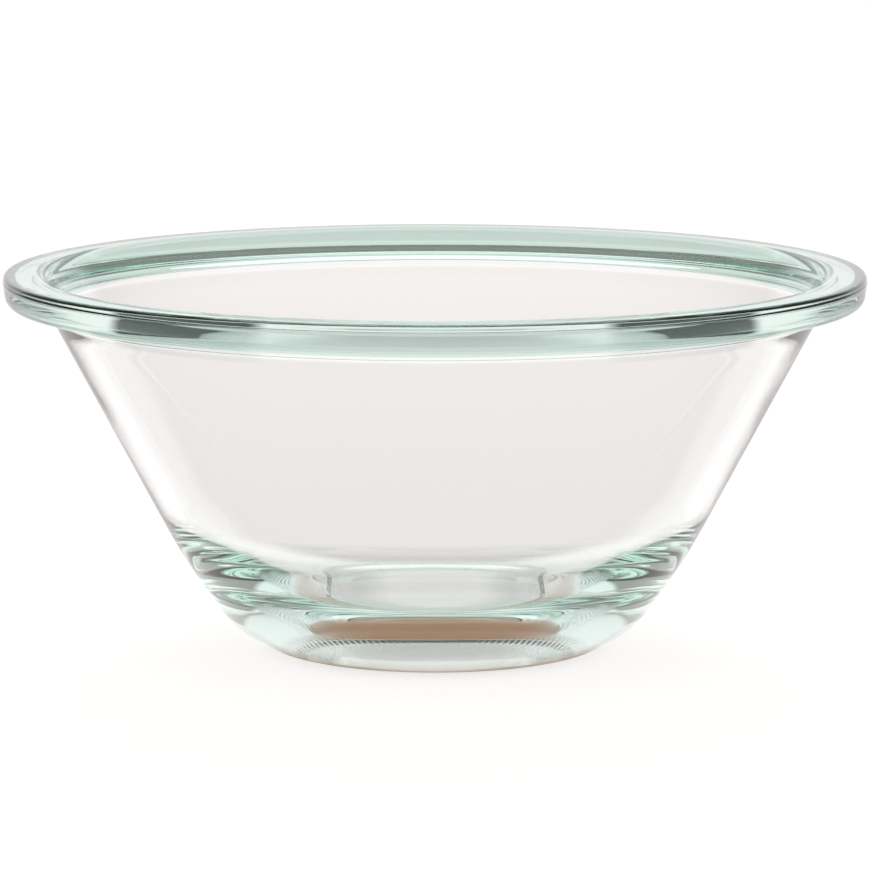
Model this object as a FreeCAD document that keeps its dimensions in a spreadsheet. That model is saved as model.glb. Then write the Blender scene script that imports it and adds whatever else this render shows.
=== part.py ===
"""Glass mixing bowl, pressed in one piece from clear soda-lime glass.

The bowl is one solid of revolution about +Z. It stands on z = 0 with its axis through the
origin. A thick foot carries a flared wall, and the wall ends in a heavy lip that stands out
past it as a grip. Lengths are in millimetres and angles in degrees, in the sheet "dims".
"""

import FreeCAD
import Part
import Sketcher
import math
import os

OUT = "parts"
FULL_TURN = 360.0

# Sketcher's numbers for the sketch axes and for the points of an item.
H_AXIS, V_AXIS = -1, -2
START, END, CENTRE = 1, 2, 3

# Driving dimensions: alias, value, what it is.
DIMENSIONS = [
    ("rim_diameter", 240.0, "over the bead on the lip"),
    ("bowl_height", 106.4, "table to the top of the lip"),
    ("seam_height", 104.2, "parting line round the lip's outer face"),
    ("lip_underside", 97.6, "height of the lip's underside"),
    ("lip_taper", 0.7, "how far the lip's face draws in down to its low corner"),
    ("lip_low_round", 3.4, "from the lip's face to its underside"),
    ("lip_top_round", 1.3, "from the lip's face to its top"),
    ("mouth_round", 5.0, "from the lip's top into the bowl"),
    ("flare_angle", 57.5, "inside of the wall behind the lip, above level"),
    ("flare_height", 94.0, "where that flare would meet the inside wall"),
    ("flare_round", 80.0, "between the flare and the wall"),
    ("neck_round", 7.0, "hollow round where the wall meets the lip"),
    ("wall_angle", 61.8, "upper wall above level"),
    ("heel_angle", 54.9, "outside of the wall above the foot, above level"),
    ("bend_height", 27.8, "where those two outside slopes would meet"),
    ("bend_round", 150.0, "between the two outside slopes"),
    ("heel_round", 29.8, "from the wall to the foot"),
    ("foot_radius", 35.85, "where the heel's round reaches the table"),
    ("wall_thickness", 4.8, "square to the upper wall"),
    ("shoulder_height", 36.9, "where the inside slope would meet the inside wall"),
    ("shoulder_thickness", 5.6, "square to the wall there: the glass thickens downwards"),
    ("shoulder_round", 49.8, "between that slope and the wall"),
    ("floor_height", 10.1, "table to the inside floor"),
    ("floor_radius", 45.3, "where that slope would meet the inside floor"),
    ("floor_round", 48.6, "from the inside floor to the slope"),
    ("hollow_radius", 31.0, "edge of the shallow hollow under the foot"),
    ("hollow_depth", 1.4, "depth of that hollow at the axis"),
    ("bead_radius", 0.35, "section of the moulded bead on the parting line"),
    ("bead_stand", 0.12, "how far the bead stands out of the lip"),
    ("knurl_count", 120, "radial notches round the foot"),
    ("knurl_inner", 33.6, "from the axis to a notch's inner end"),
    ("knurl_outer", 36.4, "from the axis to a notch's outer end"),
    ("knurl_width", 0.7, "width of a notch"),
    ("knurl_depth", 0.15, "depth of a notch above the table"),
]

# Places that follow from the dimensions, as expressions on the sheet.
FACE = "(dims.rim_diameter / 2 - dims.bead_stand)"
HEEL_CORNER = "(dims.foot_radius + dims.heel_round * tan(dims.heel_angle * 0.5 deg))"
BEND_CORNER = f"({HEEL_CORNER} + dims.bend_height / tan(dims.heel_angle * 1 deg))"
HOLLOW_BALL = "(dims.hollow_radius ^ 2 + dims.hollow_depth ^ 2) / (2 * dims.hollow_depth)"


def outer_wall(height):
    """Radius of the upper wall's outside at a height."""
    return f"({BEND_CORNER} + ({height} - dims.bend_height) / tan(dims.wall_angle * 1 deg))"


def inner_wall(height, thickness):
    """Radius of the upper wall's inside at a height, where it is that thick square to itself."""
    return f"({outer_wall(height)} - {thickness} / sin(dims.wall_angle * 1 deg))"


FLARE = inner_wall("dims.flare_height", "dims.wall_thickness")
MOUTH = f"({FLARE} + (dims.bowl_height - dims.flare_height) / tan(dims.flare_angle * 1 deg))"
SHOULDER = inner_wall("dims.shoulder_height", "dims.shoulder_thickness")

# The bowl's section from the axis round the outside and back along the inside. Each corner has
# a radius and a height, before it is rounded, and the alias of its round. None is the axis, the
# table or a sharp corner.
SECTION = [
    ("foot", None, None, None),
    ("heel", HEEL_CORNER, None, "heel_round"),
    ("bend", BEND_CORNER, "dims.bend_height", "bend_round"),
    ("neck", outer_wall("dims.lip_underside"), "dims.lip_underside", "neck_round"),
    ("lip_low", f"({FACE} - dims.lip_taper)", "dims.lip_underside", "lip_low_round"),
    ("seam", FACE, "dims.seam_height - 3 * dims.bead_radius", None),
    ("lip_top", FACE, "dims.bowl_height", "lip_top_round"),
    ("mouth", MOUTH, "dims.bowl_height", "mouth_round"),
    ("flare", FLARE, "dims.flare_height", "flare_round"),
    ("shoulder", SHOULDER, "dims.shoulder_height", "shoulder_round"),
    ("floor", "dims.floor_radius", "dims.floor_height", "floor_round"),
    ("middle", None, "dims.floor_height", None),
]


def make_sheet(doc):
    """The driving dimensions, one row each."""
    sheet = doc.addObject("Spreadsheet::Sheet", "dims")
    for row, (alias, value, note) in enumerate(DIMENSIONS, start=1):
        sheet.set(f"A{row}", alias)
        sheet.set(f"B{row}", str(value))
        sheet.setAlias(f"B{row}", alias)
        sheet.set(f"C{row}", note)
    doc.recompute()
    return sheet


def number(sheet, expression):
    """What an expression comes to. None is on the axis or on the table, at 0."""
    if expression is None:
        return 0.0
    result = sheet.evalExpression(expression)
    return float(getattr(result, "Value", result))


def origin_feature(body, role):
    """One of the body's own origin planes or axes."""
    return next(item for item in body.Origin.OriginFeatures if item.Role == role)


def new_sketch(body, name, plane):
    sketch = body.newObject("Sketcher::SketchObject", name)
    sketch.AttachmentSupport = [(origin_feature(body, plane), "")]
    sketch.MapMode = "FlatFace"
    return sketch


def bind(sketch, name, expression, kind, *arguments):
    """Adds a named constraint whose value follows the sheet."""
    index = sketch.addConstraint(Sketcher.Constraint(kind, *arguments))
    sketch.renameConstraint(index, name)
    sketch.setExpression(f"Constraints.{name}", expression)


def hold_point(sketch, sheet, name, item, end, radius, height):
    """Holds one point of a sketch item at a radius and a height."""
    if radius is None:
        sketch.addConstraint(Sketcher.Constraint("PointOnObject", item, end, V_AXIS))
    else:
        across = ("DistanceX", H_AXIS, START, item, end, number(sheet, radius))
        bind(sketch, f"{name}_radius", radius, *across)
    if height is None:
        sketch.addConstraint(Sketcher.Constraint("PointOnObject", item, end, H_AXIS))
    else:
        up = ("DistanceY", H_AXIS, START, item, end, number(sheet, height))
        bind(sketch, f"{name}_height", height, *up)


def corner_arc(before, corner, after, radius):
    """Start, middle and end of the arc that rounds a corner between two straight lines."""
    back = (before - corner).normalize()
    ahead = (after - corner).normalize()
    half_angle = back.getAngle(ahead) / 2
    reach = radius / math.tan(half_angle)
    inward = (back + ahead).normalize()
    centre = corner + inward * (radius / math.sin(half_angle))
    return corner + back * reach, centre - inward * radius, corner + ahead * reach


def section_sketch(body, sheet):
    """The closed section in the XZ plane: straight lines joined by tangent arcs."""
    sketch = new_sketch(body, "section", "XZ_Plane")
    points = [
        FreeCAD.Vector(number(sheet, radius), number(sheet, height), 0)
        for _, radius, height, _ in SECTION
    ]
    count = len(points)
    arcs = {}
    ends = [(point, point) for point in points]
    for i, (_, _, _, alias) in enumerate(SECTION):
        if alias is None:
            continue
        size = number(sheet, f"dims.{alias}")
        start, middle, end = corner_arc(points[i - 1], points[i], points[(i + 1) % count], size)
        arcs[i] = sketch.addGeometry(Part.Arc(start, middle, end), False)
        ends[i] = (start, end)
    lines = [
        sketch.addGeometry(Part.LineSegment(ends[i][1], ends[(i + 1) % count][0]), False)
        for i in range(count)
    ]
    for i, (name, radius, height, alias) in enumerate(SECTION):
        before, after = lines[i - 1], lines[i]
        if alias is None:
            sketch.addConstraint(Sketcher.Constraint("Coincident", before, END, after, START))
            hold_point(sketch, sheet, name, after, START, radius, height)
            continue
        join_arc(sketch, before, arcs[i], after)
        size = number(sheet, f"dims.{alias}")
        bind(sketch, f"{name}_round", f"dims.{alias}", "Radius", arcs[i], size)
        corner = sketch.addGeometry(Part.Point(points[i]), True)
        sketch.addConstraint(Sketcher.Constraint("PointOnObject", corner, START, before))
        sketch.addConstraint(Sketcher.Constraint("PointOnObject", corner, START, after))
        hold_point(sketch, sheet, name, corner, START, radius, height)
    return sketch


def join_arc(sketch, before, arc, after):
    """Makes an arc tangent to the line before it and the line after it, end to end."""
    for line, line_end in ((before, END), (after, START)):
        tip = sketch.getPoint(line, line_end)
        near = min((START, END), key=lambda end: sketch.getPoint(arc, end).distanceToPoint(tip))
        sketch.addConstraint(Sketcher.Constraint("Tangent", arc, near, line, line_end))


def spun(body, name, sketch):
    """A sketch turned all the way about +Z and added to the body."""
    feature = body.newObject("PartDesign::Revolution", name)
    feature.Profile = sketch
    feature.ReferenceAxis = (sketch, ["V_Axis"])
    feature.Angle = FULL_TURN
    sketch.Visibility = False
    body.Document.recompute()
    return feature


def hollow_foot(body):
    """The shallow dome under the foot, which leaves a flat ring to stand on."""
    ball = body.newObject("PartDesign::SubtractiveSphere", "foot_hollow")
    ball.setExpression("Radius", HOLLOW_BALL)
    ball.AttachmentSupport = [(origin_feature(body, "XY_Plane"), "")]
    ball.MapMode = "FlatFace"
    ball.setExpression(".AttachmentOffset.Base.z", f"dims.hollow_depth - {HOLLOW_BALL}")
    body.Document.recompute()
    return ball


def seam_bead(body, sheet):
    """The fine bead that the mould's parting line leaves round the lip."""
    sketch = new_sketch(body, "bead_section", "XZ_Plane")
    centre_radius = "dims.rim_diameter / 2 - dims.bead_radius"
    centre = FreeCAD.Vector(number(sheet, centre_radius), number(sheet, "dims.seam_height"), 0)
    size = number(sheet, "dims.bead_radius")
    circle = sketch.addGeometry(Part.Circle(centre, FreeCAD.Vector(0, 0, 1), size), False)
    bind(sketch, "bead_round", "dims.bead_radius", "Radius", circle, size)
    hold_point(sketch, sheet, "bead", circle, CENTRE, centre_radius, "dims.seam_height")
    return spun(body, "bead", sketch)


def notch_sketch(body, sheet):
    """One notch's rectangle, which lies along +X on the table plane."""
    sketch = new_sketch(body, "notch", "XY_Plane")
    inner = number(sheet, "dims.knurl_inner")
    outer = number(sheet, "dims.knurl_outer")
    width = number(sheet, "dims.knurl_width")
    corners = [
        FreeCAD.Vector(inner, -width / 2, 0),
        FreeCAD.Vector(outer, -width / 2, 0),
        FreeCAD.Vector(outer, width / 2, 0),
        FreeCAD.Vector(inner, width / 2, 0),
    ]
    low, far, high, near = (
        sketch.addGeometry(Part.LineSegment(corners[i], corners[(i + 1) % 4]), False)
        for i in range(4)
    )
    for line, following in ((low, far), (far, high), (high, near), (near, low)):
        sketch.addConstraint(Sketcher.Constraint("Coincident", line, END, following, START))
    for line in (low, high):
        sketch.addConstraint(Sketcher.Constraint("Horizontal", line))
    sketch.addConstraint(Sketcher.Constraint("Vertical", far))
    sketch.addConstraint(Sketcher.Constraint("Symmetric", low, START, high, END, H_AXIS))
    bind(sketch, "inner", "dims.knurl_inner", "DistanceX", H_AXIS, START, low, START, inner)
    bind(sketch, "outer", "dims.knurl_outer", "DistanceX", H_AXIS, START, low, END, outer)
    bind(sketch, "across", "dims.knurl_width", "DistanceY", low, END, high, START, width)
    return sketch


def knurled_foot(body, sheet):
    """Short radial notches round the outer part of the standing ring."""
    notch = body.newObject("PartDesign::Pocket", "knurl_notch")
    notch.Profile = notch_sketch(body, sheet)
    notch.Reversed = True
    notch.setExpression("Length", "dims.knurl_depth")
    notch.Profile[0].Visibility = False
    body.Document.recompute()

    ring = body.newObject("PartDesign::PolarPattern", "knurl_ring")
    ring.Originals = [notch]
    ring.Axis = (origin_feature(body, "Z_Axis"), [""])
    ring.Angle = FULL_TURN
    ring.setExpression("Occurrences", "dims.knurl_count")
    body.Tip = ring
    body.Document.recompute()
    return ring


def cut_away(body, before, name):
    """Stops the build if a cut took nothing off the glass."""
    if body.Shape.Volume >= before - 1e-3:
        raise RuntimeError(f"{name} cut nothing")


def glass_bowl(doc, sheet):
    body = doc.addObject("PartDesign::Body", "glass_bowl")
    body.Label = "glass_bowl"
    spun(body, "pressing", section_sketch(body, sheet))
    volume = body.Shape.Volume
    hollow_foot(body)
    cut_away(body, volume, "foot hollow")
    seam_bead(body, sheet)
    volume = body.Shape.Volume
    knurled_foot(body, sheet)
    cut_away(body, volume, "knurl")
    return body


def check(doc, bodies):
    """Every feature has to be sound, and every sub-part one valid solid."""
    for item in doc.Objects:
        if {"Invalid", "Error"} & set(item.State):
            raise RuntimeError(f"{item.Name} failed: {item.State}")
    for body in bodies:
        shape = body.Shape
        if shape.isNull() or not shape.isValid() or len(shape.Solids) != 1:
            raise RuntimeError(f"{body.Label} is not one valid solid")


def main():
    doc = FreeCAD.newDocument("mixing_bowl")
    sheet = make_sheet(doc)
    bodies = [glass_bowl(doc, sheet)]
    doc.recompute()
    check(doc, bodies)
    os.makedirs(OUT, exist_ok=True)
    for body in bodies:
        body.Shape.exportStep(os.path.join(OUT, f"{body.Label}.step"))
        box = body.Shape.optimalBoundingBox()
        print(
            f"{body.Label}: {box.XLength:.2f} x {box.YLength:.2f} x {box.ZLength:.2f} mm,"
            f" {body.Shape.Volume / 1000:.1f} cm3, {len(body.Shape.Faces)} faces"
        )


main()
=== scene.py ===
"""A clear pressed-glass mixing bowl on a pale studio table.

The bowl is made again here as one fine mesh, because clear glass shows every facet of the CAD
frame's triangles. Its section repeats the CAD part's section at the frame's own size. Design
lengths are in millimetres of the CAD part and angles in degrees; the scene is in metres.
"""

import math

import bpy
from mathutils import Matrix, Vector, noise


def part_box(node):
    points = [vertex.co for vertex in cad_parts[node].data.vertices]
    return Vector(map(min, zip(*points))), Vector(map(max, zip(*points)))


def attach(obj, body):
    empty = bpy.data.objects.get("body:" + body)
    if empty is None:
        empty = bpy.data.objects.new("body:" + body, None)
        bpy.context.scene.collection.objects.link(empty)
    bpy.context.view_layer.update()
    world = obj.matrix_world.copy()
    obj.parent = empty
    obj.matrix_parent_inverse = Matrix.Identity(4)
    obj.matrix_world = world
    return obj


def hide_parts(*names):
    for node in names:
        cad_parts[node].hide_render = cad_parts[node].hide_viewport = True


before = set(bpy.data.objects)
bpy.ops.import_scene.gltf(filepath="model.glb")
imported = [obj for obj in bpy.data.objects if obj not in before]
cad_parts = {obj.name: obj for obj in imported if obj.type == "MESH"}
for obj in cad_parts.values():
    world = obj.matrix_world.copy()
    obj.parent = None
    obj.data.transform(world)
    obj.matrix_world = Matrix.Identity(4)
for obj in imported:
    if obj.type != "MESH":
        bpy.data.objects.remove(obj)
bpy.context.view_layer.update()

NODE = "glass_bowl"

# The section's driving dimensions, as in the CAD part.
BOWL_HEIGHT = 106.4
RIM_RADIUS = 120.0
SEAM_HEIGHT = 104.2
BEAD_RADIUS = 0.35
BEAD_STAND = 0.12
LIP_UNDERSIDE = 97.6
LIP_TAPER = 0.7
LIP_LOW_ROUND = 3.4
LIP_TOP_ROUND = 1.3
MOUTH_ROUND = 5.0
FLARE_ANGLE = math.radians(57.5)
FLARE_HEIGHT = 94.0
FLARE_ROUND = 80.0
NECK_ROUND = 7.0
WALL_ANGLE = math.radians(61.8)
HEEL_ANGLE = math.radians(54.9)
BEND_HEIGHT = 27.8
BEND_ROUND = 150.0
HEEL_ROUND = 29.8
FOOT_RADIUS = 35.85
WALL_THICKNESS = 4.8
SHOULDER_HEIGHT = 36.9
SHOULDER_THICKNESS = 5.6
SHOULDER_ROUND = 49.8
FLOOR_HEIGHT = 10.1
FLOOR_RADIUS = 45.3
FLOOR_ROUND = 48.6
HOLLOW_RADIUS = 31.0
HOLLOW_DEPTH = 1.4
KNURL_COUNT = 120
KNURL_INNER = 33.6
KNURL_OUTER = 36.4
KNURL_DEPTH = 0.15

# How finely the section and the turn are divided.
ARC_STEP = 0.13          # a round's step is this times the square root of its radius
FEWEST_ARC_STEPS = 6
LINE_STEP = 1.3
NO_LENGTH = 1e-5
HOLLOW_STEPS = 16
BEAD_STEPS = 3           # to each side of the bead's crest
NOTCH_STEP = 0.3         # from a notch's inner end to its first full depth
HEEL_GAP = 0.01          # keeps the ring's last point inside the heel's round
STEPS_PER_NOTCH = 4
TURN_STEPS = KNURL_COUNT * STEPS_PER_NOTCH

# The faint waves of pressed, fire-polished glass.
WAVE_DEPTH = 0.05
WAVE_LENGTH = 26.0
WAVE_FREE_HEIGHT = 6.0   # the foot turns from true to waved up to this height
BROAD_SHARE, FINE_SHARE = 0.45, 0.2
FINE_PITCH = 2.3         # finer than the broad waves by this
FINE_SHIFT = 7.1
OUTSIDE_WAVES, INSIDE_WAVES = 0.0, 31.7   # where each face's waves are taken from

# Clear soda-lime glass. The absorption is per metre of the scene.
GLASS_IOR = 1.52
GLASS_GREEN = (0.45, 0.93, 0.80, 1)
GLASS_DENSITY = 2.8
CLEAR = (1, 1, 1, 1)
# The lip's base colour is greener and darker: partly the thick glass's green, partly painted
# shade.
LIP_TINT_AND_SHADE = (0.66, 0.815, 0.77, 1)
LIP_TINT_AND_SHADE_START, LIP_TINT_AND_SHADE_END = 97.0, 98.5
FOOT_DULL_START, FOOT_DULL_END = 0.3, 0.05   # heights between which the foot's ring turns dull
FOOT_ROUGHNESS = 0.5
STIPPLE_SCALE = 1600
STIPPLE_DETAIL = 2

# The pale table, in metres and in tones.
TABLE_REACH = 8.0
TABLE_BASE = (0.5, 0.5, 0.5, 1)
TABLE_ROUGHNESS = 0.9
TABLE_TINT = (1.0, 0.985, 0.975)
TABLE_GLOW = 0.84
SHADE_REACH = 100.0      # where the painted shade round the foot ends
# Painted shade: radius and brightness of the table's glow under the foot and just outside it.
FOOT_SHADE = (
    (0, 0.68), (14, 0.68), (23, 0.42), (35.5, 0.42), (36.2, 0.75), (50, 0.94), (90, 1)
)

# The studio round it: a white backdrop behind the bowl in a dim room.
SKY_WHITE = (1.0, 0.99, 0.985, 1)
SKY_DIM = (0.32, 0.30, 0.275, 1)
BACK_NARROW, BACK_WIDE = math.radians(32), math.radians(42)   # to each side of straight back
BACK_FULL, BACK_TOP = math.radians(36), math.radians(52)      # above level

# The soft light over the table, in metres. It faces the target.
LIGHT_PLACE = Vector((0, 0.9, 1.4))
LIGHT_TARGET = Vector((0, 0, 0.05))
LIGHT_WIDTH, LIGHT_HEIGHT = 1.2, 0.8
LIGHT_RADIANCE = 1.2

# Sheets of painted shade that are seen only through and in the glass: dark sheets by the rim,
# and painted shadow on the table under and round the foot. Each is a level part of a ring, with
# its height, its radii, its angles from +X towards +Y, its tone, and how much of it fades out
# towards each end, towards the axis and away from it.
CARD_STEPS = 48
# Painted shade: dark sheets beside the rim, seen only in the glass.
DARK_SHADE = (0.04, 0.055, 0.05, 1)
# Painted shadow: a warm brown shade on the table round the front of the foot.
BROWN_SHADE = (0.29, 0.14, 0.05, 1)
# Painted shadow: a dark line where the foot's ring meets the table.
CONTACT_SHADE = (0.04, 0.03, 0.02, 1)
# Painted shadow: the table behind the bowl, darker nearer the foot.
NEAR_SHADE = (0.56, 0.545, 0.54, 1)
SHADE = (0.87, 0.825, 0.82, 1)
CARDS = (
    ("painted_shade_flag_left", 92, (106, 134), (213, 245), DARK_SHADE, 0.12, 0.03, 0.12),
    ("painted_shade_flag_right", 92, (106, 134), (-65, -33), DARK_SHADE, 0.12, 0.03, 0.12),
    ("painted_brown_shade", -0.1, (35.9, 54), (190, 350), BROWN_SHADE, 0.1, 0.01, 0.4),
    ("painted_contact_shade", -0.1, (33.7, 35.85), (180, 360), CONTACT_SHADE, 0.1, 0.1, 0.1),
    ("painted_shade_near", -0.05, (36, 112), (40, 140), NEAR_SHADE, 0.25, 0.01, 0.85),
    ("painted_shade_far", -0.1, (37, 1600), (35, 145), SHADE, 0.25, 0.005, 0.95),
)

# The camera: a long lens, a little above the rim and tilted down.
CAMERA_DISTANCE = 1800.0
CAMERA_HEIGHT = 319.5
CAMERA_TILT = 0.143      # in radians
CAMERA_LENS = 269.8
CAMERA_SENSOR = 36
CAMERA_REACH = 50        # in metres

# How often light may pass or mirror in the glass.
GLASS_BOUNCES = 32
MIRROR_BOUNCES = 16

box_low, box_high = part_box(NODE)
MM = (box_high.z - box_low.z) / BOWL_HEIGHT
BOWL_CENTRE = Vector(((box_low.x + box_high.x) / 2, (box_low.y + box_high.y) / 2, box_low.z))
TABLE_GAP = 0.2 * MM     # keeps the foot's face and the table apart


def rounded(corners):
    """A line through corners of (radius, height, round), with each corner's round as an arc."""
    line = []
    for i, (radius, height, size) in enumerate(corners):
        corner = Vector((radius, height))
        if not size:
            line.append(corner)
            continue
        back = (Vector(corners[i - 1][:2]) - corner).normalized()
        ahead = (Vector(corners[i + 1][:2]) - corner).normalized()
        half = back.angle(ahead) / 2
        centre = corner + (back + ahead).normalized() * (size / math.sin(half))
        first = corner + back * (size / math.tan(half)) - centre
        last = corner + ahead * (size / math.tan(half)) - centre
        turn = math.atan2(first.x * last.y - first.y * last.x, first.dot(last))
        steps = max(FEWEST_ARC_STEPS, round(abs(turn) * size / (ARC_STEP * math.sqrt(size))))
        for k in range(steps + 1):
            cos, sin = math.cos(turn * k / steps), math.sin(turn * k / steps)
            arm = Vector((first.x * cos - first.y * sin, first.x * sin + first.y * cos))
            line.append(centre + arm)
    return line


def divided(line, step):
    """The same line with no piece longer than a step."""
    points = [line[0]]
    for start, end in zip(line, line[1:]):
        length = (end - start).length
        if length < NO_LENGTH:
            continue
        pieces = math.ceil(length / step)
        points += [start.lerp(end, k / pieces) for k in range(1, pieces + 1)]
    return points


def bowl_section():
    """The half section from the axis under the foot, up the outside and back down the inside.

    Returns its points and the number of the topmost one, where the outside ends.
    """
    heel = FOOT_RADIUS + HEEL_ROUND * math.tan(HEEL_ANGLE / 2)
    bend = heel + BEND_HEIGHT / math.tan(HEEL_ANGLE)
    face = RIM_RADIUS - BEAD_STAND

    def outer_wall(height):
        return bend + (height - BEND_HEIGHT) / math.tan(WALL_ANGLE)

    def inner_wall(height, thickness):
        return outer_wall(height) - thickness / math.sin(WALL_ANGLE)

    ball = (HOLLOW_RADIUS**2 + HOLLOW_DEPTH**2) / (2 * HOLLOW_DEPTH)
    hollow = [
        (x, math.sqrt(ball**2 - x**2) - ball + HOLLOW_DEPTH, 0)
        for x in (HOLLOW_RADIUS * k / HOLLOW_STEPS for k in range(HOLLOW_STEPS + 1))
    ]
    ring_radii = (KNURL_INNER, KNURL_INNER + NOTCH_STEP, FOOT_RADIUS - HEEL_GAP)
    ring = [(x, 0, 0) for x in ring_radii]
    bead_half = math.acos(1 - BEAD_STAND / BEAD_RADIUS)
    bead = [
        (RIM_RADIUS - BEAD_RADIUS * (1 - math.cos(a)), SEAM_HEIGHT + BEAD_RADIUS * math.sin(a), 0)
        for a in (bead_half * k / BEAD_STEPS for k in range(-BEAD_STEPS, BEAD_STEPS + 1))
    ]
    outside = hollow + ring + [
        (heel, 0, HEEL_ROUND),
        (bend, BEND_HEIGHT, BEND_ROUND),
        (outer_wall(LIP_UNDERSIDE), LIP_UNDERSIDE, NECK_ROUND),
        (face - LIP_TAPER, LIP_UNDERSIDE, LIP_LOW_ROUND),
        (face, SEAM_HEIGHT - 3 * BEAD_RADIUS, 0),
    ] + bead + [(face, BOWL_HEIGHT, LIP_TOP_ROUND)]
    flare = inner_wall(FLARE_HEIGHT, WALL_THICKNESS)
    mouth = flare + (BOWL_HEIGHT - FLARE_HEIGHT) / math.tan(FLARE_ANGLE)
    inside = [
        (mouth, BOWL_HEIGHT, MOUTH_ROUND),
        (flare, FLARE_HEIGHT, FLARE_ROUND),
        (inner_wall(SHOULDER_HEIGHT, SHOULDER_THICKNESS), SHOULDER_HEIGHT, SHOULDER_ROUND),
        (FLOOR_RADIUS, FLOOR_HEIGHT, FLOOR_ROUND),
        (0, FLOOR_HEIGHT, 0),
    ]
    points = divided(rounded(outside + inside), LINE_STEP)
    top = max(range(len(points)), key=lambda k: points[k].y + points[k].x * 1e-3)
    return points, top


def wave(place, seed):
    """How deep the glass is pressed in at a place, from 0 to 1."""
    here = place / WAVE_LENGTH + Vector((seed, 0, 0))
    broad = noise.noise(here)
    fine = noise.noise(here * FINE_PITCH + Vector((0, seed, FINE_SHIFT)))
    return min(1.0, max(0.0, 0.5 + BROAD_SHARE * broad + FINE_SHARE * fine))


def smooth_step(value):
    value = min(1.0, max(0.0, value))
    return value * value * (3 - 2 * value)


def turned_glass(name):
    """The section turned about the axis, with the foot's notches and the glass's faint waves."""
    points, top = bowl_section()
    last = len(points) - 1
    verts, faces, rings = [], [], []
    for i, point in enumerate(points):
        if i in (0, last):
            rings.append([len(verts)] * TURN_STEPS)
            verts.append((0, 0, point.y))
            continue
        along = (points[i + 1] - points[i - 1]).normalized()
        inward = Vector((-along.y, along.x))
        knurled = KNURL_INNER < point.x < KNURL_OUTER and point.y < KNURL_DEPTH
        calm = smooth_step(point.y / WAVE_FREE_HEIGHT)
        ring = []
        for k in range(TURN_STEPS):
            angle = math.tau * k / TURN_STEPS
            cos, sin = math.cos(angle), math.sin(angle)
            place = Vector((point.x * cos, point.x * sin, point.y))
            depth = calm * WAVE_DEPTH * wave(place, OUTSIDE_WAVES if i <= top else INSIDE_WAVES)
            radius = point.x + inward.x * depth
            height = point.y + inward.y * depth
            if knurled and k % STEPS_PER_NOTCH == 0:
                height = max(height, KNURL_DEPTH)
            ring.append(len(verts))
            verts.append((radius * cos, radius * sin, height))
        rings.append(ring)
    for lower, upper in zip(rings, rings[1:]):
        for k in range(TURN_STEPS):
            following = (k + 1) % TURN_STEPS
            face = (lower[k], lower[following], upper[following], upper[k])
            faces.append(tuple(dict.fromkeys(face)))
    mesh = bpy.data.meshes.new(name)
    mesh.from_pydata([BOWL_CENTRE + Vector(vert) * MM for vert in verts], [], faces)
    mesh.polygons.foreach_set("use_smooth", [True] * len(faces))
    mesh.update()
    piece = bpy.data.objects.new(name, mesh)
    bpy.context.scene.collection.objects.link(piece)
    return piece


def new_material(name):
    material = bpy.data.materials.new(name)
    material.use_nodes = True
    nodes = material.node_tree.nodes
    output = next(node for node in nodes if node.type == "OUTPUT_MATERIAL")
    shader = next(node for node in nodes if node.type == "BSDF_PRINCIPLED")
    return material, nodes, material.node_tree.links, shader, output


def blend(nodes, links, value, start, end):
    """A smooth step of a value from 0 at start to 1 at end."""
    step = nodes.new("ShaderNodeMapRange")
    step.interpolation_type = "SMOOTHSTEP"
    step.inputs["From Min"].default_value = start
    step.inputs["From Max"].default_value = end
    links.new(value, step.inputs["Value"])
    return step.outputs["Result"]


def product(nodes, links, first, second):
    """One value times another, which may be a plain number."""
    node = nodes.new("ShaderNodeMath")
    node.operation = "MULTIPLY"
    links.new(first, node.inputs[0])
    if isinstance(second, float):
        node.inputs[1].default_value = second
    else:
        links.new(second, node.inputs[1])
    return node.outputs[0]


def mixed(nodes, links, share, first, second):
    """A colour that goes from the first to the second with a share."""
    node = nodes.new("ShaderNodeMix")
    node.data_type = "RGBA"
    node.inputs["A"].default_value = first
    node.inputs["B"].default_value = second
    links.new(share, node.inputs["Factor"])
    return node.outputs["Result"]


def glass_material():
    """Clear glass: green in its depth, greener and darker on the lip (partly the glass's green,
    partly painted shade), stippled and dull under the foot.
    """
    material, nodes, links, shader, output = new_material("clear_glass")
    shader.inputs["IOR"].default_value = GLASS_IOR
    shader.inputs["Transmission Weight"].default_value = 1.0

    place = nodes.new("ShaderNodeTexCoord").outputs["Object"]
    parts = nodes.new("ShaderNodeSeparateXYZ")
    links.new(place, parts.inputs[0])
    height = parts.outputs["Z"]

    stipple = nodes.new("ShaderNodeTexNoise")
    stipple.inputs["Scale"].default_value = STIPPLE_SCALE
    stipple.inputs["Detail"].default_value = STIPPLE_DETAIL
    links.new(place, stipple.inputs["Vector"])
    foot = blend(nodes, links, height, FOOT_DULL_START * MM, FOOT_DULL_END * MM)
    dull = product(nodes, links, foot, stipple.outputs["Fac"])
    links.new(product(nodes, links, dull, FOOT_ROUGHNESS), shader.inputs["Roughness"])

    # Painted shade: the lip's base colour is darker and greener than the rest of the glass.
    lip = blend(nodes, links, height, LIP_TINT_AND_SHADE_START * MM, LIP_TINT_AND_SHADE_END * MM)
    links.new(mixed(nodes, links, lip, CLEAR, LIP_TINT_AND_SHADE), shader.inputs["Base Color"])

    absorb = nodes.new("ShaderNodeVolumeAbsorption")
    absorb.inputs["Color"].default_value = GLASS_GREEN
    absorb.inputs["Density"].default_value = GLASS_DENSITY
    links.new(absorb.outputs["Volume"], output.inputs["Volume"])
    return material


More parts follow.
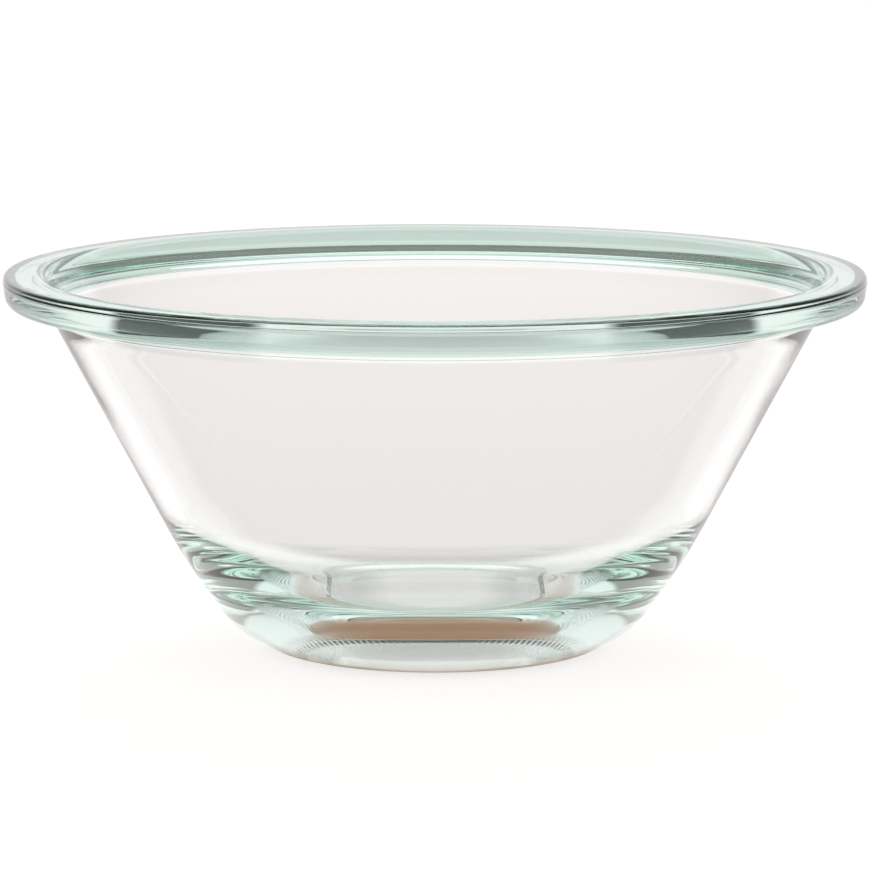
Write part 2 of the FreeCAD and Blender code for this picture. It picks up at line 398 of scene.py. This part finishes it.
def table():
    """A wide level square, a hair below the foot."""
    edge = TABLE_REACH
    corners = [(-edge, -edge), (edge, -edge), (edge, edge), (-edge, edge)]
    mesh = bpy.data.meshes.new("table")
    mesh.from_pydata([(x, y, -TABLE_GAP) for x, y in corners], [], [(0, 1, 2, 3)])
    sheet = bpy.data.objects.new("table", mesh)
    bpy.context.scene.collection.objects.link(sheet)
    sheet.data.materials.append(table_material())


def table_material():
    """Matt and nearly white, with painted shade in its glow under the foot and close round it."""
    material, nodes, links, shader, _ = new_material("pale_table")
    shader.inputs["Base Color"].default_value = TABLE_BASE
    shader.inputs["Roughness"].default_value = TABLE_ROUGHNESS
    shader.inputs["Specular IOR Level"].default_value = 0.0
    shader.inputs["Emission Strength"].default_value = TABLE_GLOW
    distance = nodes.new("ShaderNodeVectorMath")
    distance.operation = "LENGTH"
    links.new(nodes.new("ShaderNodeTexCoord").outputs["Object"], distance.inputs[0])
    ramp = nodes.new("ShaderNodeValToRGB")
    share = product(nodes, links, distance.outputs["Value"], 1 / (SHADE_REACH * MM))
    links.new(share, ramp.inputs[0])
    stops = ramp.color_ramp.elements
    while len(stops) < len(FOOT_SHADE):
        stops.new(0.5)
    for stop, (radius, tone) in zip(stops, FOOT_SHADE):
        stop.position = radius / SHADE_REACH
        stop.color = (*(tone * part for part in TABLE_TINT), 1)
    # The painted shade sets the colour of the table's glow.
    links.new(ramp.outputs["Color"], shader.inputs["Emission Color"])
    return material


def soft_card(name, height, radii, angles, colour, end_fade, near_fade, far_fade):
    """A level part of a ring with faded edges, a sheet of painted shade. It is seen only through
    and in the glass.
    """
    verts, faces, sides = [], [], []
    for k in range(CARD_STEPS + 1):
        angle = math.radians(angles[0] + (angles[1] - angles[0]) * k / CARD_STEPS)
        for radius in radii:
            place = Vector((radius * math.cos(angle), radius * math.sin(angle), height))
            verts.append(BOWL_CENTRE + place * MM)
        if k:
            faces.append((2 * k - 2, 2 * k - 1, 2 * k + 1, 2 * k))
            last, this = (k - 1) / CARD_STEPS, k / CARD_STEPS
            sides += [(last, 0), (last, 1), (this, 1), (this, 0)]
    mesh = bpy.data.meshes.new(name)
    mesh.from_pydata(verts, [], faces)
    layer = mesh.uv_layers.new(name="sides")
    for loop, place in zip(layer.data, sides):
        loop.uv = place
    card = bpy.data.objects.new(name, mesh)
    bpy.context.scene.collection.objects.link(card)
    card.visible_camera = False
    card.visible_diffuse = False
    card.visible_shadow = False

    material, nodes, links, shader, output = new_material(name)
    nodes.remove(shader)
    places = nodes.new("ShaderNodeSeparateXYZ")
    links.new(nodes.new("ShaderNodeTexCoord").outputs["UV"], places.inputs[0])
    cover = None
    for axis, start, end in (
        ("X", 0, end_fade), ("X", 1, 1 - end_fade), ("Y", 0, near_fade), ("Y", 1, 1 - far_fade)
    ):
        fade = blend(nodes, links, places.outputs[axis], start, end)
        cover = product(nodes, links, cover, fade) if cover else fade
    tone = nodes.new("ShaderNodeEmission")
    tone.inputs["Color"].default_value = colour
    clear = nodes.new("ShaderNodeBsdfTransparent")
    both = nodes.new("ShaderNodeMixShader")
    links.new(cover, both.inputs[0])
    links.new(clear.outputs[0], both.inputs[1])
    links.new(tone.outputs[0], both.inputs[2])
    links.new(both.outputs[0], output.inputs["Surface"])
    card.data.materials.append(material)


def studio_sky():
    """A white backdrop behind the bowl, as wide and as high as its ranges, in a dim room."""
    world = bpy.data.worlds.new("studio")
    bpy.context.scene.world = world
    world.use_nodes = True
    nodes, links = world.node_tree.nodes, world.node_tree.links
    background = next(node for node in nodes if node.type == "BACKGROUND")
    direction = nodes.new("ShaderNodeTexCoord").outputs["Generated"]
    parts = nodes.new("ShaderNodeSeparateXYZ")
    links.new(direction, parts.inputs[0])
    level = nodes.new("ShaderNodeVectorMath")
    level.operation = "MULTIPLY"
    level.inputs[1].default_value = (1, 1, 0)
    links.new(direction, level.inputs[0])
    heading = nodes.new("ShaderNodeVectorMath")
    heading.operation = "NORMALIZE"
    links.new(level.outputs[0], heading.inputs[0])
    turned = nodes.new("ShaderNodeSeparateXYZ")
    links.new(heading.outputs[0], turned.inputs[0])
    behind = blend(nodes, links, turned.outputs["Y"], math.cos(BACK_WIDE), math.cos(BACK_NARROW))
    below = blend(nodes, links, parts.outputs["Z"], math.sin(BACK_TOP), math.sin(BACK_FULL))
    backdrop = product(nodes, links, behind, below)
    tone = mixed(nodes, links, backdrop, SKY_DIM, SKY_WHITE)
    links.new(tone, background.inputs["Color"])


def soft_light():
    """One wide, soft light, above the bowl and a little behind it."""
    light = bpy.data.lights.new("top_box", "AREA")
    light.shape = "RECTANGLE"
    light.size, light.size_y = LIGHT_WIDTH, LIGHT_HEIGHT
    light.energy = LIGHT_RADIANCE * math.pi * LIGHT_WIDTH * LIGHT_HEIGHT
    lamp = bpy.data.objects.new("top_box", light)
    lamp.location = LIGHT_PLACE
    lamp.rotation_euler = (LIGHT_TARGET - LIGHT_PLACE).to_track_quat("-Z", "Y").to_euler()
    bpy.context.scene.collection.objects.link(lamp)


def camera():
    """The photograph's angle."""
    data = bpy.data.cameras.new("camera")
    data.sensor_width = CAMERA_SENSOR
    data.lens = CAMERA_LENS
    data.clip_end = CAMERA_REACH
    eye = bpy.data.objects.new("camera", data)
    eye.location = BOWL_CENTRE + Vector((0, -CAMERA_DISTANCE, CAMERA_HEIGHT)) * MM
    eye.rotation_euler = (math.pi / 2 - CAMERA_TILT, 0, 0)
    bpy.context.scene.collection.objects.link(eye)
    bpy.context.scene.camera = eye


bowl = turned_glass("pressed_glass_bowl")
bowl.data.materials.append(glass_material())
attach(bowl, "root")
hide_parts(NODE)

table()
for card in CARDS:
    soft_card(*card)
studio_sky()
soft_light()
camera()

scene = bpy.context.scene
scene.view_settings.view_transform = "Standard"
scene.cycles.max_bounces = GLASS_BOUNCES
scene.cycles.transmission_bounces = GLASS_BOUNCES
scene.cycles.glossy_bounces = MIRROR_BOUNCES
